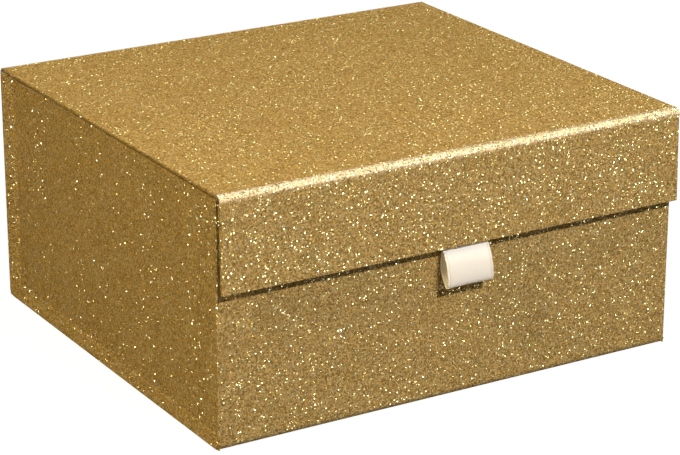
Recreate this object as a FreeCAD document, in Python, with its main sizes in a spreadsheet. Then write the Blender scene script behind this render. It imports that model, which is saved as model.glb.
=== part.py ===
import FreeCAD, Part
import math
import os
import Sketcher

# Storage box of greyboard panels covered with paper, with a hinged lid, a front flap and a ribbon tab.
# Frame in millimetres: +Z up, the front faces -Y, the origin is the middle of the base's underside.
# One strip of panels runs front, base, back, lid, flap. Two side walls close it, joined by paper webs.

sizes = {
    # The box, over its covering paper
    "box_width": 220,
    "box_depth": 200,
    "box_height": 108,
    # The sheets that every panel is made of
    "board": 1.2,
    "cover": 0.4,
    "lining": 0.3,
    # Outer radius of the strip's folds, and the border of paper turned over an edge
    "fold_radius": 3,
    "turn_in": 5,
    # The lid stands clear of the walls, and the flap stands clear of the front and leans out
    "lid_gap": 0.5,
    "flap_height": 40.8,
    "flap_stand": 4,
    "flap_tilt": 1.5,
    # The side walls draw in towards the back, and paper webs join them to the back and the base
    "side_inset": 2.9,
    "web_depth": 6,
    "web_height": 3.5,
    "lap_gap": 0.1,
    # Tuck tabs that tape the front wall to the side walls
    "tab_width": 26,
    "tab_card": 0.8,
    "tab_margin": 9,
    "tape_width": 12,
    "tape": 0.2,
    "tape_margin": 4,
    # Magnets in the flap and steel discs in the front wall
    "magnet_diameter": 10,
    "magnet_spacing": 140,
    "magnet_drop": 26,
    "magnet_gap": 0.15,
    # Satin ribbon loop under the flap
    "ribbon_width": 22,
    "ribbon_shift": 2.5,
    "ribbon": 0.3,
    "ribbon_drop": 15.5,
    "ribbon_reach": 3.8,
    "ribbon_fold": 0.9,
    "ribbon_tail": 18,
    "tail_gap": 0.1,
    # How far a cut runs past the face that it opens
    "overrun": 1,
}

# Shape of the ribbon's loop: how far its back layer falls straight, how much it bows after that,
# and the angle at which it reaches the fold at the bottom
fallShare = 0.45
bowShare = 0.12
foldAngle = 60

doc = FreeCAD.newDocument("storage_box")
sheet = doc.addObject("Spreadsheet::Sheet", "size")
for row, (alias, value) in enumerate(sizes.items(), start=1):
    sheet.set(f"A{row}", alias)
    sheet.set(f"B{row}", str(value))
    sheet.setAlias(f"B{row}", alias)
doc.recompute()

xAxis = FreeCAD.Vector(1, 0, 0)
zAxis = FreeCAD.Vector(0, 0, 1)

# Depths into a panel from its outer face
boardOut = "(size.cover + size.board)"
liningOut = "(size.cover + size.board + size.lining)"
panel = "(2 * size.cover + size.board)"
web = "(size.cover + size.lining)"

# Runs of the panels between folds, and the walls' heights and depths
baseRun = "(size.box_depth - 2 * size.fold_radius)"
backRun = "(size.box_height - 2 * size.fold_radius)"
lidRun = "(size.box_depth + size.flap_stand - 2 * size.fold_radius)"
flapRun = "(size.flap_height - size.fold_radius)"
wallTop = f"(size.box_height - {panel} - size.lid_gap)"
wallFoot = f"({panel} + size.web_height)"
wallRear = f"(size.box_depth - {panel} - size.web_depth)"
frontRun = f"({wallTop} - size.fold_radius)"
keeperDrop = f"({wallTop} - size.box_height + size.fold_radius + size.magnet_drop)"
sideAngle = f"-atan(size.side_inset / {wallRear})"

# Edges across the box that the papers leave free
halfWidth = "(size.box_width / 2)"
caseEdges = (web, f"(size.box_width - {web})")
frontEdges = (f"({web} + size.lap_gap)", f"(size.box_width - {web} - size.lap_gap)")
wrapEdges = ("size.cover", "(size.box_width - size.cover)")
liningEdges = ("size.turn_in", "(size.box_width - size.turn_in)")

pieces = []


def place(piece, x="0", y="0", z="0", axis=zAxis, angle="0"):
    piece.Placement = FreeCAD.Placement(FreeCAD.Vector(), FreeCAD.Rotation(axis, 1))
    for path, rule in zip("xyz", (x, y, z)):
        piece.setExpression(f"Placement.Base.{path}", rule)
    piece.setExpression("Placement.Rotation.Angle", angle)


def newBody(label, keep=True):
    body = doc.addObject("PartDesign::Body", label)
    body.Label = label
    if keep:
        pieces.append(body)
    return body


def sketchOn(body, role, name, offset=("0", "0", "0")):
    plane = next(item for item in body.Origin.OriginFeatures if item.Role == role)
    sketch = body.newObject("Sketcher::SketchObject", f"{body.Name}_{name}")
    sketch.AttachmentSupport = (plane, [""])
    sketch.MapMode = "FlatFace"
    for path, rule in zip("xyz", offset):
        sketch.setExpression(f"AttachmentOffset.Base.{path}", rule)
    return sketch


def bind(sketch, kind, target, rule):
    index = sketch.addConstraint(Sketcher.Constraint(kind, *target, 1.0))
    sketch.setExpression(f"Constraints[{index}]", rule)


def outline(sketch, corners):
    # Closed outline through corners given as expressions across and up from the sketch's origin
    count = len(corners)
    turns = [2 * math.pi * step / count for step in range(count + 1)]
    unit = [FreeCAD.Vector(math.cos(turn), math.sin(turn), 0) for turn in turns]
    for start, end in zip(unit, unit[1:]):
        sketch.addGeometry(Part.LineSegment(start, end))
    for line, corner in enumerate(corners):
        sketch.addConstraint(Sketcher.Constraint("Coincident", line, 2, (line + 1) % count, 1))
        for kind, axis, rule in zip(("DistanceX", "DistanceY"), (-2, -1), corner):
            if rule == "0":
                sketch.addConstraint(Sketcher.Constraint("PointOnObject", line, 1, axis))
            else:
                bind(sketch, kind, (-1, 1, line, 1), rule)


def rectangle(sketch, width, height):
    outline(sketch, [("0", "0"), (width, "0"), (width, height), ("0", height)])


def pad(body, sketch, length, reverse=False):
    feature = body.newObject("PartDesign::Pad", f"{sketch.Name}_pad")
    feature.Profile = sketch
    feature.setExpression("Length", length)
    feature.Reversed = reverse
    body.Tip = feature
    return feature


def pocket(body, sketch, depth):
    # A cut towards the panel's inner face, which has to take something away
    doc.recompute()
    before = body.Tip.Shape.Volume
    feature = body.newObject("PartDesign::Pocket", f"{sketch.Name}_cut")
    feature.Profile = sketch
    feature.setExpression("Length", depth)
    feature.Reversed = True
    body.Tip = feature
    doc.recompute()
    if not feature.Shape.Volume < before:
        raise ValueError(f"{feature.Name} cuts nothing")


def sheetOn(label, role, across, along, start, thickness):
    # A flat sheet between two edges across and two along, on one plane of its panel's frame
    body = newBody(label)
    sketch = sketchOn(body, role, "sheet", (across[0], along[0], start))
    rectangle(sketch, f"{across[1]} - {across[0]}", f"{along[1]} - {along[0]}")
    pad(body, sketch, thickness)
    return body


def cutOn(body, name, across, along, start, depth):
    sketch = sketchOn(body, "XY_Plane", name, (across[0], along[0], start))
    rectangle(sketch, f"{across[1]} - {across[0]}", f"{along[1]} - {along[0]}")
    pocket(body, sketch, depth)


def wrap(label, run, closed):
    # Covering paper folded over a board: outer face, edges and turned-in border, open where it folds on
    body = sheetOn(label, "XY_Plane", ("0", "size.box_width"), ("0", run), "0", panel)
    slotEnd = f"({run} - size.cover)" if closed else f"({run} + size.overrun)"
    windowEnd = f"({run} - size.turn_in)" if closed else f"({run} + size.overrun)"
    cutOn(body, "slot", wrapEdges, ("(-size.overrun)", slotEnd), "size.cover", "size.board")
    cutOn(body, "window", liningEdges, ("(-size.overrun)", windowEnd), boardOut, "size.cover + size.overrun")
    return body


def discPlaces(along):
    return [(f"{halfWidth} {sign} size.magnet_spacing / 2", along) for sign in "-+"]


def drill(body, along):
    # Round holes through a board for the magnets or their steel discs
    for number, (across, up) in enumerate(discPlaces(along)):
        sketch = sketchOn(body, "XY_Plane", f"hole_{number}")
        sketch.addGeometry(Part.Circle(FreeCAD.Vector(1, 1, 0), zAxis, 1))
        bind(sketch, "DistanceX", (-1, 1, 0, 3), across)
        bind(sketch, "DistanceY", (-1, 1, 0, 3), up)
        bind(sketch, "Diameter", (0,), "size.magnet_diameter + 2 * size.magnet_gap")
        pocket(body, sketch, f"{boardOut} + size.overrun")


def discs(label, along):
    # The two discs that sit in a board's holes, in that panel's own frame
    group = doc.addObject("Part::Compound", label)
    group.Label = label
    for across, up in discPlaces(along):
        disc = doc.addObject("Part::Cylinder", f"{label}_disc")
        disc.setExpression("Radius", "size.magnet_diameter / 2")
        disc.setExpression("Height", "size.board")
        place(disc, across, up, "size.cover")
        group.Links = group.Links + [disc]
    pieces.append(group)
    return group


def bend(body, name, thickness, sweep, offset=("0", "0", "0"), turned=False):
    # Paper bent round a fold: a thin band revolved about the fold's centre line
    sketch = sketchOn(body, "XY_Plane", name)
    sketch.AttachmentOffset = FreeCAD.Placement(FreeCAD.Vector(), FreeCAD.Rotation(zAxis, 180 * turned))
    for path, rule in zip("xyz", offset):
        sketch.setExpression(f"AttachmentOffset.Base.{path}", rule)
    inner = f"size.fold_radius - {thickness}"
    outline(sketch, [("0", inner), ("size.box_width", inner), ("size.box_width", "size.fold_radius"),
                     ("0", "size.fold_radius")])
    turn = body.newObject("PartDesign::Revolution", f"{body.Name}_{name}_turn")
    turn.Profile = sketch
    turn.ReferenceAxis = (sketch, ["H_Axis"])
    turn.setExpression("Angle", sweep)
    turn.Reversed = True
    body.Tip = turn


def mirror(source, label):
    # The right-hand twin of a left-hand piece
    twin = doc.addObject("Part::Mirroring", label)
    twin.Label = label
    twin.Source = source
    twin.Normal = xAxis
    pieces.append(twin)


# Where each panel lies: a strip panel's frame starts at a fold, runs along Y and faces in along Z.
# A side wall's frame starts at its front bottom corner and faces in along X.
def onBase(piece):
    place(piece, f"-{halfWidth}", "size.fold_radius - size.box_depth / 2", "0", xAxis, "0")


def onBack(piece):
    place(piece, f"-{halfWidth}", "size.box_depth / 2", "size.fold_radius", xAxis, "90")


def onLid(piece):
    place(piece, f"-{halfWidth}", "size.box_depth / 2 - size.fold_radius", "size.box_height", xAxis, "180")


def onFlap(piece):
    lean = "size.flap_tilt * 1 deg"
    depth = f"size.fold_radius * (1 - cos({lean})) - size.box_depth / 2 - size.flap_stand"
    height = f"size.box_height - size.fold_radius * (1 - sin({lean}))"
    place(piece, f"-{halfWidth}", depth, height, xAxis, "-90 - size.flap_tilt")


def onFront(piece):
    place(piece, f"-{halfWidth}", "-size.box_depth / 2", wallTop, xAxis, "-90")


def onSide(piece):
    place(piece, f"-{halfWidth}", "-size.box_depth / 2", "0", zAxis, sideAngle)


def onCorner(piece):
    place(piece, f"-{halfWidth}", "-size.box_depth / 2", "0")


# Base: its paper turns up at both folds, and the lining runs on to the walls
base = sheetOn("base_cover", "XY_Plane", ("0", "size.box_width"), ("0", baseRun), "0", "size.cover")
bend(base, "back_fold", "size.cover", "90", ("0", baseRun, "size.fold_radius"))
bend(base, "front_fold", "size.cover", "90", ("size.box_width", "0", "size.fold_radius"), turned=True)
onBase(base)
liningStart = f"({liningOut} - size.fold_radius)"
onBase(sheetOn("base_board", "XY_Plane", caseEdges, ("0", baseRun), "size.cover", "size.board"))
onBase(sheetOn("base_lining", "XY_Plane", caseEdges, (liningStart, f"({baseRun} - {liningStart})"),
               boardOut, "size.lining"))

# Back wall
onBack(sheetOn("back_cover", "XY_Plane", ("0", "size.box_width"), ("0", backRun), "0", "size.cover"))
onBack(sheetOn("back_board", "XY_Plane", caseEdges, ("0", backRun), "size.cover", "size.board"))
onBack(sheetOn("back_lining", "XY_Plane", caseEdges, (liningStart, backRun), boardOut, "size.lining"))

# Front wall: its paper hooks over the top edge and turns in
front = newBody("front_cover")
hook = sketchOn(front, "YZ_Plane", "hook", ("0", "0", frontEdges[0]))
outline(hook, [("0", "0"), (frontRun, "0"), (frontRun, "size.cover"), ("size.cover", "size.cover"),
               ("size.cover", boardOut), ("size.turn_in", boardOut), ("size.turn_in", panel), ("0", panel)])
pad(front, hook, f"{frontEdges[1]} - {frontEdges[0]}")
onFront(front)
frontBoard = sheetOn("front_board", "XY_Plane", frontEdges, ("size.cover", frontRun), "size.cover", "size.board")
drill(frontBoard, keeperDrop)
onFront(frontBoard)
onFront(sheetOn("front_lining", "XY_Plane", frontEdges, ("size.turn_in", f"({wallTop} - {liningOut})"),
                boardOut, "size.lining"))
onFront(discs("front_keepers", keeperDrop))

# Left wall: its paper laps the front corner, hooks over the top edge and turns in
sideNear = f"({panel} + size.lap_gap)"
side = newBody("left_cover")
sideHook = sketchOn(side, "XZ_Plane", "hook", ("0", wallFoot, f"-{sideNear}"))
sideRise = f"({wallTop} - {wallFoot})"
outline(sideHook, [("0", "0"), ("size.cover", "0"), ("size.cover", f"{sideRise} - size.cover"),
                   (boardOut, f"{sideRise} - size.cover"), (boardOut, f"{sideRise} - size.turn_in"),
                   (panel, f"{sideRise} - size.turn_in"), (panel, sideRise), ("0", sideRise)])
pad(side, sideHook, f"{wallRear} - {sideNear}", reverse=True)
lap = sketchOn(side, "XZ_Plane", "lap", ("0", wallFoot, "0"))
rectangle(lap, "size.cover", sideRise)
pad(side, lap, sideNear, reverse=True)
boardHead = f"({wallTop} - size.cover)"
liningHead = f"({wallTop} - size.turn_in)"
board = sheetOn("left_board", "YZ_Plane", (sideNear, wallRear), (wallFoot, boardHead), "size.cover", "size.board")
lining = sheetOn("left_lining", "YZ_Plane", (sideNear, wallRear), (wallFoot, liningHead), boardOut, "size.lining")

# Tuck tab of the front wall, and the tape that holds it to the side wall
tabFar = f"({sideNear} + size.tab_width)"
tabEnds = (f"({wallFoot} + size.tab_margin)", f"({wallTop} - size.tab_margin)")
tapeEnds = (f"({tabEnds[0]} + size.tape_margin)", f"({tabEnds[1]} - size.tape_margin)")
tapeNear = f"({sideNear} + (size.tab_width - size.tape_width) / 2)"
tapeFar = f"({tapeNear} + size.tape_width)"
tab = sheetOn("left_tuck_tab", "YZ_Plane", (sideNear, tabFar), tabEnds, f"{liningOut} + size.tape", "size.tab_card")
tape = sheetOn("left_tab_tape", "YZ_Plane", (tapeNear, tapeFar), tapeEnds, liningOut, "size.tape")
leftPieces = [side, board, lining, tab, tape]
for piece in leftPieces:
    onSide(piece)

# Rear web: paper without board that flares from the side wall out to the back's edge
innerBack = f"(size.box_depth - {panel})"
outerBack = "(size.box_depth - size.cover)"
rearWeb = newBody("left_rear_web")
plan = sketchOn(rearWeb, "XY_Plane", "plan", ("0", "0", wallFoot))
outline(plan, [("size.side_inset", wallRear), (f"size.side_inset + {web}", wallRear), (web, innerBack),
               (web, outerBack), ("0", outerBack), ("0", innerBack)])
pad(rearWeb, plan, f"size.box_height - size.fold_radius - {wallFoot}")
onCorner(rearWeb)

# Bottom web: the same paper along the base's edge, which flares as far as the wall draws in
flare = newBody("left_web_blank", keep=False)
sections = []
for name, along, inset in (("front", "0", "0"), ("drawn", wallRear, "size.side_inset"),
                           ("back", innerBack, "0"), ("end", outerBack, "0")):
    section = sketchOn(flare, "XZ_Plane", name, ("0", "0", f"-{along}"))
    outline(section, [("0", "size.cover"), (web, "size.cover"), (web, panel), (f"{inset} + {web}", wallFoot),
                      (inset, wallFoot), ("0", panel)])
    sections.append(section)
loft = flare.newObject("PartDesign::AdditiveLoft", "left_web_loft")
loft.Profile = sections[0]
loft.Sections = sections[1:]
loft.Ruled = True
flare.Tip = loft
onCorner(flare)

# The space inside the base's folds, which rounds the bottom web's two lower corners
foldSpace = newBody("fold_space", keep=False)
room = sketchOn(foldSpace, "XY_Plane", "room", ("0", "0", "size.cover"))
rectangle(room, "size.box_width", f"{outerBack} - size.cover")
block = pad(foldSpace, room, "size.box_height")
doc.recompute()
middle = block.Shape.BoundBox.Center.z
lowerEdges = [f"Edge{number}" for number, edge in enumerate(block.Shape.Edges, start=1)
              if edge.BoundBox.ZMax < middle and edge.BoundBox.XLength > edge.BoundBox.YLength]
rounding = foldSpace.newObject("PartDesign::Fillet", "fold_space_rounding")
rounding.Base = (block, lowerEdges)
rounding.setExpression("Radius", "size.fold_radius - size.cover")
foldSpace.Tip = rounding
place(foldSpace, f"-{halfWidth}", "size.cover - size.box_depth / 2", "0")
bottomWeb = doc.addObject("Part::Common", "left_bottom_web")
bottomWeb.Label = "left_bottom_web"
bottomWeb.Base = flare
bottomWeb.Tool = foldSpace
pieces.append(bottomWeb)

for piece in leftPieces + [rearWeb, bottomWeb]:
    mirror(piece, piece.Label.replace("left", "right"))

# Lid: its paper wraps over both side edges
onLid(wrap("lid_cover", lidRun, closed=False))
onLid(sheetOn("lid_board", "XY_Plane", wrapEdges, ("0", lidRun), "size.cover", "size.board"))
onLid(sheetOn("lid_lining", "XY_Plane", liningEdges, ("0", lidRun), boardOut, "size.lining"))

# Flap: its paper wraps over three edges, and its lining swells over the ribbon's tails
onFlap(wrap("flap_cover", flapRun, closed=True))
flapBoard = sheetOn("flap_board", "XY_Plane", wrapEdges, ("0", f"({flapRun} - size.cover)"),
                    "size.cover", "size.board")
drill(flapBoard, "size.magnet_drop")
onFlap(flapBoard)
onFlap(discs("flap_magnets", "size.magnet_drop"))
flapEnd = f"({flapRun} - size.turn_in)"
flapLining = sheetOn("flap_lining", "XY_Plane", liningEdges, ("0", flapEnd), boardOut, "size.lining")
tailMiddle = f"({halfWidth} + size.ribbon_shift)"
tailHalf = "(size.ribbon_width / 2 + size.tail_gap)"
tailTop = f"({flapRun} - size.ribbon_tail - size.tail_gap)"
tailIn = f"({panel} + 2 * size.ribbon + size.tail_gap)"
swellLeft = f"({tailMiddle} - {tailHalf} - size.lining)"
swellTop = f"({tailTop} - size.lining)"
swell = sketchOn(flapLining, "XY_Plane", "swell", (swellLeft, swellTop, boardOut))
rectangle(swell, f"2 * ({tailHalf} + size.lining)", f"{flapEnd} - {swellTop}")
pad(flapLining, swell, f"{tailIn} + size.lining - {boardOut}")
cutOn(flapLining, "tail_room", (f"({tailMiddle} - {tailHalf})", f"({tailMiddle} + {tailHalf})"),
      (tailTop, f"({flapEnd} + size.overrun)"), f"{boardOut} - size.overrun",
      f"{tailIn} - {boardOut} + size.overrun")
onFlap(flapLining)

# Folded paper at the lid's two hinges
lidHinge = newBody("lid_hinge_paper")
bend(lidHinge, "band", web, "90")
place(lidHinge, f"-{halfWidth}", "size.box_depth / 2 - size.fold_radius", "size.box_height - size.fold_radius",
      xAxis, "90")
flapHinge = newBody("flap_hinge_paper")
bend(flapHinge, "band", web, "90 - size.flap_tilt")
place(flapHinge, f"-{halfWidth}", "size.fold_radius - size.box_depth / 2 - size.flap_stand",
      "size.box_height - size.fold_radius", xAxis, "180 - size.flap_tilt")


def ribbonShape():
    # Both tails lie flat inside the flap, and the loop swings out below its edge. Same frame as the flap.
    left = (sheet.box_width - sheet.ribbon_width) / 2 + sheet.ribbon_shift
    inner = 2 * sheet.cover + sheet.board
    edge = sheet.flap_height - sheet.fold_radius
    frontTop = FreeCAD.Vector(left, edge, inner)
    backTop = FreeCAD.Vector(left, edge, inner + 2 * sheet.ribbon)
    backFall = backTop + FreeCAD.Vector(0, fallShare * sheet.ribbon_drop, 0)
    foldCentre = FreeCAD.Vector(left, edge + sheet.ribbon_drop - sheet.ribbon_fold,
                                inner - sheet.ribbon_reach + sheet.ribbon_fold)

    def onFold(turn):
        return foldCentre + FreeCAD.Vector(0, math.cos(turn), math.sin(turn)) * sheet.ribbon_fold

    toTop = frontTop - foldCentre
    frontTurn = math.atan2(toTop.z, toTop.y) + math.acos(sheet.ribbon_fold / toTop.Length) - 2 * math.pi
    backTurn = math.radians(foldAngle)
    frontFoot = onFold(frontTurn)
    backFoot = onFold(backTurn)
    chord = backFoot - backFall
    bow = FreeCAD.Vector(0, -chord.z, chord.y) * bowShare
    loop = Part.Wire([
        Part.LineSegment(frontTop, frontFoot).toShape(),
        Part.Arc(frontFoot, onFold((frontTurn + backTurn) / 2), backFoot).toShape(),
        Part.Arc(backFoot, backFall + chord / 2 + bow, backFall).toShape(),
        Part.LineSegment(backFall, backTop).toShape(),
        Part.LineSegment(backTop, frontTop).toShape(),
    ])
    across = FreeCAD.Vector(sheet.ribbon_width, 0, 0)
    hollow = Part.Face(loop.makeOffset2D(-sheet.ribbon)).extrude(across)
    tailStart = frontTop - FreeCAD.Vector(0, sheet.ribbon_tail, 0)
    tail = Part.makeBox(sheet.ribbon_width, sheet.ribbon_tail, 2 * sheet.ribbon, tailStart)
    whole = Part.Face(loop).extrude(across).cut(hollow).fuse(tail).removeSplitter()
    return whole.Solids[0]


ribbonTab = doc.addObject("Part::Feature", "ribbon_tab")
ribbonTab.Label = "ribbon_tab"
ribbonTab.Shape = ribbonShape()
onFlap(ribbonTab)
pieces.append(ribbonTab)

doc.recompute()
for item in doc.Objects:
    if "Invalid" in item.State or "Error" in item.State:
        raise ValueError(f"{item.Name} failed: {item.State}")
for piece in pieces:
    if piece.Shape.isNull() or not piece.Shape.isValid() or not piece.Shape.Solids:
        raise ValueError(f"{piece.Label} has no valid solid")

os.makedirs("parts", exist_ok=True)
for piece in pieces:
    piece.Shape.exportStep(f"parts/{piece.Label}.step")
    print(piece.Label, len(piece.Shape.Solids), round(piece.Shape.Volume, 1))
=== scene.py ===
import math

import bmesh
import bpy
from mathutils import Matrix, Vector
from mathutils.geometry import interpolate_bezier


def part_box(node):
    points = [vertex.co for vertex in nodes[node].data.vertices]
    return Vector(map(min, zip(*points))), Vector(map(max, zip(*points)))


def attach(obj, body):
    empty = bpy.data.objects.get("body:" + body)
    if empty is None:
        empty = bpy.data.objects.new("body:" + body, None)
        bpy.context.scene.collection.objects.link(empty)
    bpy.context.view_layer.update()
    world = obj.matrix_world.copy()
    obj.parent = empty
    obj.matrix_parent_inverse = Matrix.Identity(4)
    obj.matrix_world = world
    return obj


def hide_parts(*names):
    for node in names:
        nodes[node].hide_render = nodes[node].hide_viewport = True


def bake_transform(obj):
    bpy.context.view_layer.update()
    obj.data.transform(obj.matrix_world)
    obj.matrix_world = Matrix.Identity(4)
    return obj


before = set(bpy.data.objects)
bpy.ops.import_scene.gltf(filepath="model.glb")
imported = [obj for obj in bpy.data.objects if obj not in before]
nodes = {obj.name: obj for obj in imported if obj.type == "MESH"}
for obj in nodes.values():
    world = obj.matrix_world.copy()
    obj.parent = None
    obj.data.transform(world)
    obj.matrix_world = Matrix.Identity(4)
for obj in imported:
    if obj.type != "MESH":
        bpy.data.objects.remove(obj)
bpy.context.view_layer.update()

mm = 0.001
slack = 0.01 * mm  # room for rounding where things are picked by their place
print("frame loaded:", len(nodes), "nodes")


# Shader maths: one wrapped socket, with operators that add Math nodes
class Tone:
    def __init__(self, tree, socket=None):
        self.tree = tree
        self.socket = socket

    def node(self, kind, settings=None, inputs=None, out=0):
        made = self.tree.nodes.new(kind)
        for name, value in (settings or {}).items():
            setattr(made, name, value)
        for name, value in (inputs or {}).items():
            if isinstance(value, Tone):
                self.tree.links.new(value.socket, made.inputs[name])
            else:
                made.inputs[name].default_value = value
        return Tone(self.tree, made.outputs[out] if made.outputs else None)

    def other(self, out):
        # Another output of the node that this value comes from
        return Tone(self.tree, self.socket.node.outputs[out])

    def maths(self, operation, first, second=None):
        inputs = {0: first} if second is None else {0: first, 1: second}
        return self.node("ShaderNodeMath", {"operation": operation}, inputs)

    def __add__(self, other):
        return self.maths("ADD", self, other)

    def __radd__(self, other):
        return self.maths("ADD", other, self)

    def __sub__(self, other):
        return self.maths("SUBTRACT", self, other)

    def __rsub__(self, other):
        return self.maths("SUBTRACT", other, self)

    def __mul__(self, other):
        return self.maths("MULTIPLY", self, other)

    def __rmul__(self, other):
        return self.maths("MULTIPLY", other, self)

    def __gt__(self, other):
        return self.maths("GREATER_THAN", self, other)

    def __lt__(self, other):
        return self.maths("LESS_THAN", self, other)

    # This value as a mix between two colours or two vectors, which have sockets of their own
    def colour(self, low, high):
        return self.node("ShaderNodeMix", {"data_type": "RGBA"}, {0: self, 6: low, 7: high}, 2)

    def vector(self, low, high):
        return self.node("ShaderNodeMix", {"data_type": "VECTOR"}, {0: self, 4: low, 5: high}, 1)


def newFinish(name):
    finish = bpy.data.materials.new(name)
    finish.use_nodes = True
    finish.node_tree.nodes.clear()
    return finish, Tone(finish.node_tree)


def closeFinish(tone, surface):
    tone.node("ShaderNodeOutputMaterial", {}, {"Surface": surface})


def shade(value):
    # Linear colour from the sRGB value that it should show
    return tuple(c / 12.92 if c <= 0.04045 else ((c + 0.055) / 1.055) ** 2.4 for c in value) + (1.0,)


# Gold glitter paper: a matte bed of fine flakes, each with its own tone and lean.
# Among them lie bright flakes of bare metal, the sparks larger than the glints.
glitter = {
    "bed": {"scale": 1900, "lean": 0.35, "rough": 0.55, "metal": 0.02,
            "dark": (0.46, 0.349, 0.154), "light": (0.827, 0.683, 0.422)},
    "glint": {"scale": 1900, "lean": 1.3, "share": 0.13, "reach": 0.46, "tone": (0.55, 0.48, 0.32)},
    "spark": {"scale": 1500, "lean": 1.4, "share": 0.28, "reach": 0.40, "tone": (0.66, 0.62, 0.48)},
    "brightRough": 0.28,
    "edgeTint": (0.95, 0.82, 0.55),
    "gloss": 0.0,
    "drift": {"scale": 60, "detail": 3.0},  # patches where more of the bright flakes lie
    "flat": {"coat": 0.03, "coatRough": 0.3},
    "fold": {"coat": 2.2, "coatRough": 0.38},  # rubbed smooth over the folds
}


def glitterPaper(name, coat, coatRough):
    finish, tone = newFinish(name)
    place = tone.node("ShaderNodeTexCoord", out="Object")
    facing = tone.node("ShaderNodeNewGeometry", out="Normal")
    drift = tone.node("ShaderNodeTexNoise", {}, {
        "Vector": place, "Scale": glitter["drift"]["scale"], "Detail": glitter["drift"]["detail"]})

    def flakes(scale, lean):
        # Each flake's random value, the lean of its normal, and the distance from its middle
        colour = tone.node("ShaderNodeTexVoronoi", {}, {"Vector": place, "Scale": scale}, "Color")
        value = tone.node("ShaderNodeTexWhiteNoise", {}, {"Vector": colour}, "Value")
        centred = tone.node("ShaderNodeVectorMath", {"operation": "SUBTRACT"}, {0: colour, 1: (0.5,) * 3})
        leaning = tone.node("ShaderNodeVectorMath", {"operation": "SCALE"}, {0: centred, "Scale": lean})
        return value, leaning, colour.other("Distance")

    def brightFlakes(layer):
        # The drift averages a half, so twice the share picks about that share of the flakes
        value, leaning, distance = flakes(layer["scale"], layer["lean"])
        return (value < drift * (2 * layer["share"])) * (distance < layer["reach"]), leaning

    bed = glitter["bed"]
    bedValue, bedLean = flakes(bed["scale"], bed["lean"])[:2]
    glint, glintLean = brightFlakes(glitter["glint"])
    spark, sparkLean = brightFlakes(glitter["spark"])
    lean = spark.vector(glint.vector(bedLean, glintLean), sparkLean)
    tilted = tone.node("ShaderNodeVectorMath", {"operation": "ADD"}, {0: facing, 1: lean})
    flake = tone.node("ShaderNodeVectorMath", {"operation": "NORMALIZE"}, {0: tilted})
    bright = tone.maths("MAXIMUM", glint, spark)
    gold = bedValue.colour(shade(bed["dark"]), shade(bed["light"]))
    gold = glint.colour(gold, shade(glitter["glint"]["tone"]))
    gold = spark.colour(gold, shade(glitter["spark"]["tone"]))
    surface = tone.node("ShaderNodeBsdfPrincipled", {}, {
        "Base Color": gold,
        "Metallic": bright * (1 - bed["metal"]) + bed["metal"],
        "Roughness": bright * (glitter["brightRough"] - bed["rough"]) + bed["rough"],
        "Specular IOR Level": glitter["gloss"],
        "Specular Tint": shade(glitter["edgeTint"]),
        "Coat Weight": tone.maths("MINIMUM", bedValue * coat, 1.0),
        "Coat Roughness": coatRough,
        "Normal": flake,
    })
    closeFinish(tone, surface)
    return finish


# Plain papers and boards: a fibre mottle in colour and bump
papers = {
    "ivory_lining": {"low": (0.90, 0.87, 0.79), "high": (0.96, 0.94, 0.88),
                     "rough": 0.75, "grain": 260, "depth": 0.08 * mm},
    "grey_board": {"low": (0.52, 0.49, 0.44), "high": (0.66, 0.63, 0.57),
                   "rough": 0.85, "grain": 320, "depth": 0.1 * mm},
    "ivory_card": {"low": (0.86, 0.82, 0.74), "high": (0.93, 0.90, 0.83),
                   "rough": 0.7, "grain": 200, "depth": 0.08 * mm},
    "white_tape": {"low": (0.88, 0.88, 0.86), "high": (0.94, 0.94, 0.92),
                   "rough": 0.35, "grain": 120, "depth": 0.03 * mm},
}
fibre = {"mottleDetail": 6.0, "mottleRough": 0.65, "mottleShare": 0.7,
         "fineness": 6, "fineDetail": 3.0, "roughSpread": 0.2, "bump": 0.35}


def fibrePaper(name):
    paper = papers[name]
    finish, tone = newFinish(name)
    place = tone.node("ShaderNodeTexCoord", out="Object")
    mottle = tone.node("ShaderNodeTexNoise", {}, {
        "Vector": place, "Scale": paper["grain"],
        "Detail": fibre["mottleDetail"], "Roughness": fibre["mottleRough"]})
    fine = tone.node("ShaderNodeTexNoise", {}, {
        "Vector": place, "Scale": paper["grain"] * fibre["fineness"], "Detail": fibre["fineDetail"]})
    mixed = mottle * fibre["mottleShare"] + fine * (1 - fibre["mottleShare"])
    surface = tone.node("ShaderNodeBsdfPrincipled", {}, {
        "Base Color": mixed.colour(shade(paper["low"]), shade(paper["high"])),
        "Roughness": fine * fibre["roughSpread"] + (paper["rough"] - fibre["roughSpread"] / 2),
        "Normal": tone.node("ShaderNodeBump", {}, {
            "Strength": fibre["bump"], "Distance": paper["depth"], "Height": fine}),
    })
    closeFinish(tone, surface)
    return finish


# Metal of the hidden discs: a fine grain in tone and polish
metals = {
    "disc_steel": {"tint": (0.66, 0.66, 0.67), "rough": 0.32},
    "disc_nickel": {"tint": (0.80, 0.79, 0.77), "rough": 0.18},
}
grain = {"scale": 900.0, "detail": 4.0, "dull": 0.85, "roughSpread": 0.15}


def plainMetal(name):
    tint = metals[name]["tint"]
    finish, tone = newFinish(name)
    place = tone.node("ShaderNodeTexCoord", out="Object")
    fine = tone.node("ShaderNodeTexNoise", {}, {
        "Vector": place, "Scale": grain["scale"], "Detail": grain["detail"]})
    surface = tone.node("ShaderNodeBsdfPrincipled", {}, {
        "Base Color": fine.colour(shade([c * grain["dull"] for c in tint]), shade(tint)),
        "Metallic": 1.0,
        "Roughness": fine * grain["roughSpread"] + metals[name]["rough"],
    })
    closeFinish(tone, surface)
    return finish


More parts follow.
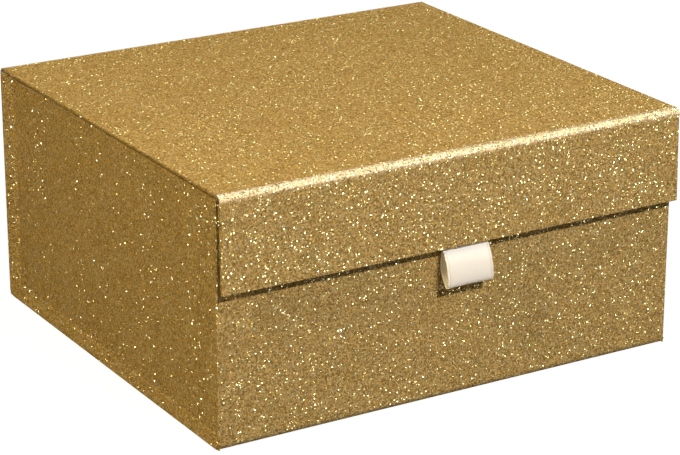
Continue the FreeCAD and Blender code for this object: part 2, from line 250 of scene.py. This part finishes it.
# Satin: fine threads both ways, a soft sheen, and at both edges a selvedge with a line of painted shade
# beside it, standing for the shade in a groove there
satin = {
    # The darker tone just inside each selvedge is painted shade, standing for the shade in a groove
    "tone": (0.98, 0.972, 0.975), "shadeTone": (0.968, 0.95, 0.955), "paintedGrooveShadeTone": (0.90, 0.86, 0.82),
    "threads": 150, "weftShare": 0.7, "bump": 0.2, "depth": 0.05 * mm,
    "paintedGrooveShade": 0.445, "selvedge": 0.465,  # where each starts, from the middle, as shares of the width
    "selvedgeLift": 0.3, "selvedgeShine": 0.08,
    "patches": {"scale": 7.0, "detail": 2.0, "share": 0.5},
    "rough": 0.40, "gloss": 0.2, "sheen": 0.05, "sheenRough": 0.35,
    "through": (1.0, 0.96, 0.82), "throughShare": 0.3,  # light that passes through the cloth
}


def satinCloth(name):
    finish, tone = newFinish(name)
    patches = satin["patches"]
    weave = tone.node("ShaderNodeUVMap")
    across = tone.node("ShaderNodeSeparateXYZ", {}, {"Vector": weave}, "X")
    along = across.other("Y")
    weft = tone.maths("SINE", along * (satin["threads"] * 2 * math.pi))
    warp = tone.maths("SINE", across * (satin["threads"] * math.pi))
    thread = (weft * satin["weftShare"] + warp * (1 - satin["weftShare"])) * 0.5 + 0.5
    fromMiddle = tone.maths("ABSOLUTE", across - 0.5)
    selvedge = fromMiddle > satin["selvedge"]
    # The band just inside each selvedge, which painted shade darkens
    paintedGrooveShade = (fromMiddle > satin["paintedGrooveShade"]) * (fromMiddle < satin["selvedge"])
    patch = tone.node("ShaderNodeTexNoise", {}, {
        "Vector": weave, "Scale": patches["scale"], "Detail": patches["detail"]})
    mixed = thread * (1 - patches["share"]) + patch * patches["share"] + selvedge * satin["selvedgeLift"]
    cream = tone.maths("MINIMUM", mixed, 1.0).colour(shade(satin["shadeTone"]), shade(satin["tone"]))
    surface = tone.node("ShaderNodeBsdfPrincipled", {}, {
        # Painted shade: the band beside each selvedge takes the darker tone
        "Base Color": paintedGrooveShade.colour(cream, shade(satin["paintedGrooveShadeTone"])),
        "Roughness": satin["rough"] - selvedge * satin["selvedgeShine"],
        "Specular IOR Level": satin["gloss"],
        "Sheen Weight": satin["sheen"],
        "Sheen Roughness": satin["sheenRough"],
        "Normal": tone.node("ShaderNodeBump", {}, {
            "Strength": satin["bump"], "Distance": satin["depth"], "Height": thread + selvedge}),
    })
    through = tone.node("ShaderNodeBsdfTranslucent", {}, {"Color": shade(satin["through"])})
    closeFinish(tone, tone.node("ShaderNodeMixShader", {}, {
        0: satin["throughShare"], 1: surface, 2: through}))
    return finish


goldPaper = glitterPaper("gold_glitter_paper", **glitter["flat"])
goldFold = glitterPaper("gold_glitter_fold", **glitter["fold"])
ivoryPaper = fibrePaper("ivory_lining")
greyBoard = fibrePaper("grey_board")
ivoryCard = fibrePaper("ivory_card")
whiteTape = fibrePaper("white_tape")
discSteel = plainMetal("disc_steel")
discNickel = plainMetal("disc_nickel")
creamSatin = satinCloth("cream_satin")
print("finishes made")


# Modelling helpers: everything is deselected first, then picked by its place
def done():
    # Leaves edit mode, whichever piece is in it
    if bpy.context.object and bpy.context.object.mode != "OBJECT":
        bpy.ops.object.mode_set(mode="OBJECT")


def startPiece(name, adder, **sizes):
    done()
    bpy.ops.object.select_all(action="DESELECT")
    adder(**sizes)
    piece = bpy.context.object
    piece.name = piece.data.name = name
    return piece


def choose(piece):
    # Makes this piece the only one that an operator acts on
    done()
    bpy.ops.object.select_all(action="DESELECT")
    bpy.context.view_layer.objects.active = piece
    piece.select_set(True)


def edit(piece, kind="FACE"):
    choose(piece)
    bpy.ops.object.mode_set(mode="EDIT")
    bpy.ops.mesh.select_mode(type=kind)
    bpy.ops.mesh.select_all(action="DESELECT")


def pick(piece, kind, test):
    # Selects the verts, edges or faces whose points all pass the test
    bpy.ops.mesh.select_mode(type=kind)
    bpy.ops.mesh.select_all(action="DESELECT")
    mesh = bmesh.from_edit_mesh(piece.data)
    for part in {"VERT": mesh.verts, "EDGE": mesh.edges, "FACE": mesh.faces}[kind]:
        points = [part.co] if kind == "VERT" else [v.co for v in part.verts]
        if all(test(point) for point in points):
            part.select = True
    mesh.select_flush_mode()
    bmesh.update_edit_mesh(piece.data)


def remove(piece, test):
    # Deletes the faces that pass the test
    pick(piece, "FACE", test)
    bpy.ops.mesh.delete(type="FACE")


def move(x, y, z):
    bpy.ops.transform.translate(value=(x, y, z))


def extrude(x, y, z):
    bpy.ops.mesh.extrude_region_move(TRANSFORM_OT_translate={"value": (x, y, z)})


def cutAcross(place, normal):
    # Adds an edge loop where a plane cuts the piece in hand
    bpy.ops.mesh.select_all(action="SELECT")
    bpy.ops.mesh.bisect(plane_co=place, plane_no=normal)


def roundEdges(piece, test, offset, segments):
    pick(piece, "EDGE", test)
    bpy.ops.mesh.bevel(offset=offset, segments=segments, affect="EDGES")


def near(a, b):
    return abs(a - b) < 2 * slack


def startEdge(name, half, y, z):
    # A single edge across the box, ready to be walked along a section
    piece = startPiece(name, bpy.ops.mesh.primitive_plane_add, size=2 * half, location=(0, y + half, z))
    bpy.ops.object.transform_apply(location=True, rotation=False, scale=False)
    edit(piece, "EDGE")
    pick(piece, "VERT", lambda p: p.y > y + half)
    bpy.ops.mesh.delete(type="VERT")
    bpy.ops.mesh.select_mode(type="EDGE")
    bpy.ops.mesh.select_all(action="SELECT")
    return piece


def walk(piece, y, z):
    # Walks the picked edge straight to a place in the section
    mesh = bmesh.from_edit_mesh(piece.data)
    now = next(v.co for v in mesh.verts if v.select)
    extrude(0, y - now.y, z - now.z)


def turn(y, z, degrees, steps):
    # Walks the picked edge round a centre line
    bpy.ops.mesh.spin(steps=steps, angle=-math.radians(degrees), center=(0, y, z), axis=(1, 0, 0))


def modify(piece, kind, **settings):
    choose(piece)
    modifier = piece.modifiers.new(kind.lower(), kind)
    for name, value in settings.items():
        setattr(modifier, name, value)
    bpy.ops.object.modifier_apply(modifier=modifier.name)


def faceOut(piece, test, direction):
    # Turns the sheet so that the first face that passes the test looks in the given direction
    done()
    face = next(f for f in piece.data.polygons if test(f.center))
    if face.normal.dot(Vector(direction)) < 0:
        edit(piece)
        bpy.ops.mesh.select_all(action="SELECT")
        bpy.ops.mesh.flip_normals()
        done()


def smooth(piece, degrees=35, flatFaces=True):
    choose(piece)
    bpy.ops.object.shade_smooth_by_angle(angle=math.radians(degrees))
    if flatFaces:
        modify(piece, "WEIGHTED_NORMAL", keep_sharp=True, weight=100)


def dress(piece, finish, stands):
    piece.data.materials.clear()
    piece.data.materials.append(finish)
    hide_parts(*stands)


# Sizes that the papers share, with the outer ones read from the frame
lidLow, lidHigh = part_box("lid_cover")
frontLow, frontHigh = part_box("front_cover")
box = {
    "half": lidHigh.x, "front": frontLow.y, "back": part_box("back_cover")[1].y,
    "top": lidHigh.z, "wallTop": frontHigh.z,
    "panel": 2.0 * mm, "paper": 0.4 * mm, "web": 0.7 * mm, "fold": 3.0 * mm,
    "lip": 0.5 * mm, "edge": 0.45 * mm, "turnIn": 5.0 * mm,
}


def thicken(piece):
    modify(piece, "SOLIDIFY", thickness=box["paper"], offset=-1.0)


# Case paper: one strip up the inside of the front's top edge, over it, down, under the base
# and up the back
case = {"edgeSteps": 4, "foldSteps": 10, "lap": 0.45 * mm}


def casePaper():
    front, back, fold, edge = box["front"], box["back"], box["fold"], box["edge"]
    top, inside = box["wallTop"], box["front"] + box["panel"]
    piece = startEdge("case_paper", box["half"], inside, top - box["turnIn"])
    walk(piece, inside, top - edge)
    turn(inside - edge, top - edge, 90, case["edgeSteps"])
    walk(piece, front + edge, top)
    turn(front + edge, top - edge, 90, case["edgeSteps"])
    walk(piece, front, fold)
    turn(front + fold, fold, 90, case["foldSteps"])
    walk(piece, back - fold, 0)
    turn(back - fold, fold, 90, case["foldSteps"])
    walk(piece, back, box["top"] - fold - box["lip"])
    # The front stops short of the corners, where the side papers lap it
    pick(piece, "VERT", lambda p: p.y < 0 and p.z > fold - slack)
    bpy.ops.transform.resize(value=(1 - case["lap"] / box["half"], 1, 1), center_override=(0, 0, 0))
    faceOut(piece, lambda c: near(c.z, 0), (0, 0, -1))
    thicken(piece)
    smooth(piece)
    dress(piece, goldPaper, ["front_cover", "base_cover", "back_cover"])
    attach(piece, "box")


# Side paper: a flat wall that draws in towards the back, with webs flaring to the edges of the
# back and the base, and a raised fold line along its foot
side = {
    "near": box["front"], "hookNear": box["front"] + 2.1 * mm, "rear": box["back"] - 7.0 * mm,
    "web": box["back"] - 2.0 * mm, "far": box["back"] - box["paper"], "corner": 0.5 * mm,
    "low": box["paper"], "lip": 2.0 * mm, "foot": 6.8 * mm,
    "webTop": box["top"] - box["fold"], "top": box["wallTop"] - 0.3 * mm,
    "inset": 2.9 * mm, "frontShare": 0.1,
    "ridgeLow": 4.4 * mm, "ridge": 5.5 * mm, "ridgeOut": 0.12 * mm, "ridgeShare": 0.55,
    "crease": 0.4 * mm, "rounds": 3,
}


def sidePaper(word, hand):
    inward = -hand
    rear, foot, webTop = side["rear"], side["foot"], side["webTop"]
    width, height = side["far"] - side["near"], side["top"] - side["low"]
    middle = (hand * box["half"], (side["far"] + side["near"]) / 2, (side["top"] + side["low"]) / 2)

    def onHook(p):
        return near(p.z, side["top"]) and side["hookNear"] - slack < p.y < rear + slack

    def onCrease(p):
        inWall = foot - slack < p.z < webTop + slack and p.y < rear + slack
        return inWall and (near(p.y, rear) or near(p.z, foot))

    piece = startPiece(f"{word}_paper", bpy.ops.mesh.primitive_plane_add, size=1,
                       location=middle, rotation=(0, math.pi / 2, 0))
    piece.scale = (height, width, 1)
    bpy.ops.object.transform_apply(location=True, rotation=True, scale=True)
    edit(piece)
    for y in (side["near"] + side["corner"], side["hookNear"], rear, side["web"]):
        cutAcross((0, y, 0), (0, 1, 0))
    for z in (side["lip"], side["ridgeLow"], side["ridge"], foot, webTop):
        cutAcross((0, 0, z), (0, 0, 1))
    remove(piece, lambda p: p.y > rear - slack and p.z > webTop - slack)
    # Draw the wall in: hardly at the front, by the full inset where the rear web starts
    for y, share in ((side["hookNear"], side["frontShare"]), (rear, 1.0)):
        inset = side["inset"] * share
        pick(piece, "VERT", lambda p: near(p.y, y) and p.z > foot - slack)
        move(inward * inset, 0, 0)
        for z, out in ((side["ridgeLow"], 0), (side["ridge"], side["ridgeOut"])):
            pick(piece, "VERT", lambda p: near(p.y, y) and near(p.z, z))
            move(inward * (inset * side["ridgeShare"] - out), 0, 0)
    # Ease the front corner
    pick(piece, "VERT", lambda p: near(p.y, side["near"]))
    move(inward * side["corner"], 0, 0)
    # Hook over the top edge and turn in
    pick(piece, "EDGE", onHook)
    extrude(inward * box["panel"], 0, 0)
    extrude(0, 0, -box["turnIn"])
    roundEdges(piece, onHook, box["edge"], side["rounds"])
    roundEdges(piece, onCrease, side["crease"], side["rounds"])
    faceOut(piece, lambda c: foot < c.z < webTop - box["turnIn"], (hand, 0, 0))
    thicken(piece)
    smooth(piece)
    dress(piece, goldPaper, [f"{word}_cover", f"{word}_rear_web", f"{word}_bottom_web"])
    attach(piece, "box")


# Lid paper: wrapped round both side edges and turned in below, open where the folds go on
lid = {"under": 1.1 * mm, "rounds": 5}


def lidPaper():
    size, lip = lidHigh - lidLow, box["lip"]
    inner = lidHigh.x - box["turnIn"]
    piece = startPiece("lid_paper", bpy.ops.mesh.primitive_cube_add, size=1, location=(lidLow + lidHigh) / 2)
    piece.scale = (size.x, size.y - 2 * lip, size.z)
    bpy.ops.object.transform_apply(location=True, rotation=False, scale=True)
    edit(piece)
    for hand in (-1, 1):
        cutAcross((hand * inner, 0, 0), (1, 0, 0))
    for y in (lidLow.y + lip, lidHigh.y - lip):
        remove(piece, lambda p: near(p.y, y))
    remove(piece, lambda p: near(p.z, lidLow.z) and abs(p.x) < inner + slack)
    for z, offset in ((lidHigh.z, box["edge"]), (lidLow.z, lid["under"])):
        roundEdges(piece, lambda p: near(abs(p.x), lidHigh.x) and near(p.z, z), offset, lid["rounds"])
    faceOut(piece, lambda c: near(c.z, lidHigh.z), (0, 0, 1))
    thicken(piece)
    smooth(piece)
    dress(piece, goldPaper, ["lid_cover"])
    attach(piece, "lid")


# Flap paper: wrapped round three edges, then leaned out about its fold
flap = {"run": 37.8 * mm, "lean": 1.5, "foldY": lidLow.y, "front": lidLow.y - box["fold"],
        "top": box["top"] - box["fold"], "rounds": 4}


def leanOut(piece):
    # Turns an upright flap piece about the fold's centre line by the flap's lean
    pivot = Matrix.Translation((0, flap["foldY"], flap["top"]))
    lean = Matrix.Rotation(math.radians(-flap["lean"]), 4, "X")
    piece.matrix_world = pivot @ lean @ pivot.inverted()
    choose(piece)
    bpy.ops.object.transform_apply(location=True, rotation=True, scale=True)


def flapPaper():
    half, inner = box["half"], box["half"] - box["turnIn"]
    front, back = flap["front"], flap["front"] + box["panel"]
    foot, head = flap["top"] - flap["run"], flap["top"] - box["lip"]
    hem = foot + box["turnIn"]

    def onRim(p):
        return (near(abs(p.x), half) or near(p.z, foot)) and (near(p.y, front) or near(p.y, back))

    piece = startPiece("flap_paper", bpy.ops.mesh.primitive_cube_add, size=1,
                       location=(0, (front + back) / 2, (foot + head) / 2))
    piece.scale = (2 * half, back - front, head - foot)
    bpy.ops.object.transform_apply(location=True, rotation=False, scale=True)
    edit(piece)
    for hand in (-1, 1):
        cutAcross((hand * inner, 0, 0), (1, 0, 0))
    cutAcross((0, 0, hem), (0, 0, 1))
    remove(piece, lambda p: near(p.z, head))
    remove(piece, lambda p: near(p.y, back) and abs(p.x) < inner + slack and p.z > hem - slack)
    roundEdges(piece, onRim, box["edge"], flap["rounds"])
    faceOut(piece, lambda c: near(c.y, front), (0, -1, 0))
    thicken(piece)
    leanOut(piece)
    smooth(piece)
    dress(piece, goldPaper, ["flap_cover"])
    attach(piece, "flap")


# The two paper folds, glitter outside and lining inside
folds = {"steps": 12, "crown": 0.1 * mm, "smooth": 50}


def closeFold(piece):
    faceOut(piece, lambda c: c.z > box["top"] - folds["crown"], (0, 0, 1))
    piece.data.materials.append(goldFold)
    piece.data.materials.append(ivoryPaper)
    modify(piece, "SOLIDIFY", thickness=box["web"], offset=-1.0, material_offset=1)
    smooth(piece, folds["smooth"])


def lidFold():
    back, top, fold, lip = box["back"], box["top"], box["fold"], box["lip"]
    piece = startEdge("lid_fold", box["half"], back, top - fold - lip)
    walk(piece, back, top - fold)
    turn(back - fold, top - fold, 90, folds["steps"])
    walk(piece, back - fold - lip, top)
    closeFold(piece)
    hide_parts("lid_hinge_paper")
    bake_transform(piece)


def flapFold():
    top, fold, lip = box["top"], box["fold"], box["lip"]
    centreY, centreZ = flap["foldY"], flap["top"]
    lean = math.radians(flap["lean"])
    endY, endZ = centreY - fold * math.cos(lean), centreZ + fold * math.sin(lean)
    piece = startEdge("flap_fold", box["half"], centreY + lip, top)
    walk(piece, centreY, top)
    turn(centreY, centreZ, 90 - flap["lean"], folds["steps"])
    walk(piece, endY - lip * math.sin(lean), endZ - lip * math.cos(lean))
    closeFold(piece)
    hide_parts("flap_hinge_paper")
    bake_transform(piece)


# Ribbon tab: one satin strip, both tails up inside the flap, its loop hanging open below
ribbon = {
    "width": 22.0 * mm, "middle": 3.4 * mm, "thick": 0.3 * mm, "round": 0.08 * mm,
    "rows": 120, "columns": 12, "samples": 40, "smooth": 40,
    # Its edges curl by "cup", more and more over a stretch below the flap, in mm of fall
    "cup": 0.25 * mm, "level": 0.4, "looseFrom": 38.0, "looseOver": 8.0,
    # Section, as depth from the flap's face and fall below its fold, in mm
    "section": [
        ((2.15, 19.8), (2.15, 25.0), (2.15, 33.0), (2.15, 37.6)),
        ((2.15, 37.6), (2.14, 38.1), (2.00, 38.5), (1.80, 38.9)),
        ((1.80, 38.9), (0.85, 40.8), (-0.36, 43.1), (-0.95, 45.2)),
        ((-0.95, 45.2), (-1.68, 47.8), (-2.20, 50.6), (-1.95, 52.8)),
        ((-1.95, 52.8), (-1.65, 54.3), (-0.60, 54.6), (0.30, 53.5)),
        ((0.30, 53.5), (1.60, 51.9), (3.30, 49.2), (3.75, 45.8)),
        ((3.75, 45.8), (4.15, 42.8), (2.47, 40.2), (2.45, 37.6)),
        ((2.45, 37.6), (2.45, 33.0), (2.45, 25.0), (2.45, 19.8)),
    ],
}


def ribbonTab():
    path = []
    for stretch in ribbon["section"]:
        knots = [Vector((0, *point)) for point in stretch]
        path += interpolate_bezier(*knots, ribbon["samples"])[:-1]
    path.append(knots[-1])
    reached = [0.0]
    for a, b in zip(path, path[1:]):
        reached.append(reached[-1] + (b - a).length)

    def along(share):
        # The section's place and heading at a share of its length
        wanted = share * reached[-1]
        last = len(reached) - 1
        i = next((i for i in range(1, last) if reached[i] >= wanted), last)
        part = (wanted - reached[i - 1]) / (reached[i] - reached[i - 1])
        return path[i - 1].lerp(path[i], part), (path[i] - path[i - 1]).normalized()

    piece = startPiece("satin_ribbon", bpy.ops.mesh.primitive_grid_add, size=1.0,
                       x_subdivisions=ribbon["columns"], y_subdivisions=ribbon["rows"])
    for vert in piece.data.vertices:
        point, heading = along(vert.co.y + 0.5)
        loose = max(0.0, min(1.0, (point.z - ribbon["looseFrom"]) / ribbon["looseOver"]))
        cup = ribbon["cup"] * loose * ((2 * vert.co.x) ** 2 - ribbon["level"])
        vert.co = Vector((vert.co.x * ribbon["width"] + ribbon["middle"],
                          flap["front"] + point.y * mm - heading.z * cup,
                          flap["top"] - point.z * mm - heading.y * cup))
    faceOut(piece, lambda c: c.y < flap["front"] - ribbon["thick"], (0, -1, 0))
    modify(piece, "SOLIDIFY", thickness=ribbon["thick"], offset=0.0)
    modify(piece, "BEVEL", width=ribbon["round"], segments=2,
           limit_method="ANGLE", angle_limit=math.radians(60))
    leanOut(piece)
    smooth(piece, ribbon["smooth"], flatFaces=False)
    dress(piece, creamSatin, ["ribbon_tab"])
    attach(piece, "flap")


casePaper()
sidePaper("left", -1)
sidePaper("right", 1)
lidPaper()
flapPaper()
lidFold()
flapFold()
ribbonTab()
print("papers made")

# Finishes of the nodes that stay as they are, by the endings of their names
kept = {"_board": greyBoard, "_lining": ivoryPaper, "_tuck_tab": ivoryCard, "_tab_tape": whiteTape,
        "_keepers": discSteel, "_magnets": discNickel}
for name, node in nodes.items():
    for ending, finish in kept.items():
        if name.endswith(ending):
            node.data.materials.clear()
            node.data.materials.append(finish)
print("kept nodes finished")

# Floor and background, white to the camera, with the box's own shadow
stage = {"size": 8.0, "drop": 0.3 * mm, "tone": (0.12, 0.12, 0.12, 1.0), "white": (1.0, 1.0, 1.0, 1.0),
         "glow": 0.95, "world": 0.05}


def seenRay(tone):
    # 1 where the camera, a reflection or a clear thing sees the surface
    seen = tone.node("ShaderNodeLightPath", out="Is Camera Ray")
    mirrored = tone.maths("MAXIMUM", seen, seen.other("Is Glossy Ray"))
    return tone.maths("MAXIMUM", mirrored, seen.other("Is Transmission Ray"))


def makeFloor():
    finish, tone = newFinish("floor_white")
    matte = tone.node("ShaderNodeBsdfDiffuse", {}, {"Color": stage["tone"]})
    glow = tone.node("ShaderNodeEmission", {}, {
        "Color": stage["white"], "Strength": seenRay(tone) * stage["glow"]})
    closeFinish(tone, tone.node("ShaderNodeAddShader", {}, {0: matte, 1: glow}))
    floor = startPiece("floor", bpy.ops.mesh.primitive_plane_add, size=stage["size"],
                       location=(0, 0, -stage["drop"]))
    floor.data.materials.append(finish)


def makeWorld():
    world = bpy.data.worlds.new("studio")
    bpy.context.scene.world = world
    world.use_nodes = True
    world.node_tree.nodes.clear()
    tone = Tone(world.node_tree)
    light = tone.node("ShaderNodeBackground", {}, {
        "Color": stage["white"], "Strength": seenRay(tone) * (1 - stage["world"]) + stage["world"]})
    tone.node("ShaderNodeOutputWorld", {}, {"Surface": light})


makeFloor()
makeWorld()

# Lamps: two that light the papers, more that only gloss shows, and one for the rear
lampAim = (0, 0, 50 * mm)
lamps = {
    "key": {"at": (0.10, -1.15, 0.98), "size": (0.3, 0.08), "watts": 16.7, "tint": (1.0, 0.975, 0.94)},
    "left": {"at": (-1.02, -0.28, 0.98), "size": (0.12, 0.12), "watts": 12.6, "tint": (1.0, 0.85, 0.45)},
    "edge": {"at": (-1.00, -0.50, 0.10), "size": (0.45, 0.45), "watts": 34.0, "glossOnly": True},
    "over": {"at": (0.62, -0.44, 1.05), "size": (1.2, 1.2), "watts": 48.0, "tint": (0.8, 1.0, 0.82),
             "glossOnly": True},
    "right": {"at": (0.72, -1.06, 0.60), "size": (0.7, 0.7), "watts": 17.5, "glossOnly": True},
    "back": {"at": (0.5, 0.8, 1.2), "size": (0.5, 0.5), "watts": 5.0, "glossOnly": True},
    "top": {"at": (0.30, 0.10, 1.30), "size": (0.35, 0.35), "watts": 9.0, "glossOnly": True},
    "rear": {"at": (1.0, 1.0, 0.2), "size": (0.5, 0.3), "watts": 12.0, "matteOnly": True},
}


def addLamp(name, at, size, watts, tint=(1, 1, 1), glossOnly=False, matteOnly=False):
    lamp = bpy.data.lights.new(name, "AREA")
    lamp.shape = "RECTANGLE"
    lamp.size, lamp.size_y = size
    lamp.energy = watts
    lamp.color = tint
    holder = bpy.data.objects.new(name, lamp)
    bpy.context.scene.collection.objects.link(holder)
    holder.location = at
    holder.rotation_euler = (Vector(lampAim) - Vector(at)).to_track_quat("-Z", "Y").to_euler()
    holder.visible_camera = False
    holder.visible_diffuse = not glossOnly
    holder.visible_glossy = not matteOnly


for name, lamp in lamps.items():
    addLamp(name, **lamp)

camera = {"at": (-0.55326, -0.93246, 0.43663), "azimuth": 30.936, "pitch": 19.962,
          "lens": 138.54, "film": 36.0}


def makeCamera():
    data = bpy.data.cameras.new("camera")
    data.lens = camera["lens"]
    data.sensor_width = camera["film"]
    holder = bpy.data.objects.new("camera", data)
    bpy.context.scene.collection.objects.link(holder)
    azimuth, pitch = math.radians(camera["azimuth"]), math.radians(camera["pitch"])
    level = math.cos(pitch)
    look = Vector((math.sin(azimuth) * level, math.cos(azimuth) * level, -math.sin(pitch)))
    holder.location = camera["at"]
    holder.rotation_euler = look.to_track_quat("-Z", "Y").to_euler()
    bpy.context.scene.camera = holder


makeCamera()
bpy.context.scene.view_settings.view_transform = "Standard"
print("stage, lamps and camera set")
